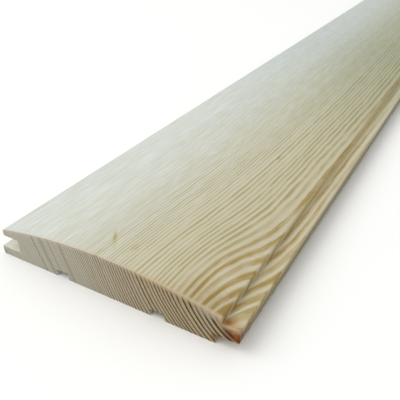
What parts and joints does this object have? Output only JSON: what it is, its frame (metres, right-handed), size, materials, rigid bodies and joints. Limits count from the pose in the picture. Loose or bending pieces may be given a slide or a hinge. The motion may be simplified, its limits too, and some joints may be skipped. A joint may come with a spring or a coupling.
{
  "type": "tongue and groove board",
  "caption": "Planed softwood wall board with a crowned log-look face, a groove along one edge, a tongue along the other and relief grooves in its back.",
  "frame": {"origin": "on the back face, halfway along the board and halfway between the lower lip's tip and the tongue's tip", "axes": "+Y along the board and its grain, +X towards the tongue, +Z out of the crowned face"},
  "size_m": [0.145, 2, 0.024],
  "materials": {
    "planed_softwood": "planed and unfinished, with sawn ends"
  },
  "bodies": {
    "root": {"board": "planed_softwood"}
  },
  "joints": []
}
